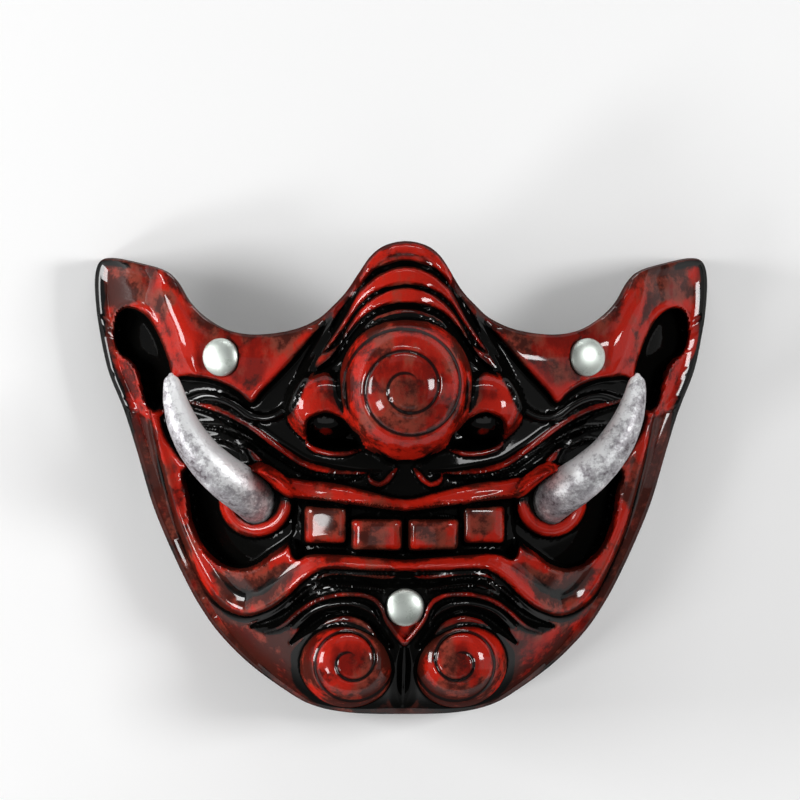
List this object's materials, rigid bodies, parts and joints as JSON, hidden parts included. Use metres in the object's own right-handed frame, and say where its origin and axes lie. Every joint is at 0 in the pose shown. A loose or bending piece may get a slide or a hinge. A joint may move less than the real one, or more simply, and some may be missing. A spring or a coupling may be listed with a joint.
{
  "type": "samurai face guard",
  "caption": "Cast half mask of a fierce face with a round nose, bared teeth, curved tusks and domed studs, worn over the nose, mouth and chin.",
  "frame": {"origin": "middle of the bounding box's foot: the plane that the rear rim rests on", "axes": "+Z the way the face looks, +Y up the nose, +X to the right as the picture shows it"},
  "size_m": [0.1852, 0.1419, 0.0879],
  "materials": {
    "lacquer": "glossy red lacquer over cast resin, with a black wash in the grooves",
    "silver": "silver paint over cast resin, smudged darker towards the lower side",
    "nickel": "polished nickel"
  },
  "bodies": {
    "root": {"face_shell": "lacquer", "tusk_left": "silver", "tusk_right": "silver", "stud_left": "nickel", "stud_right": "nickel", "stud_chin": "nickel"}
  },
  "joints": []
}
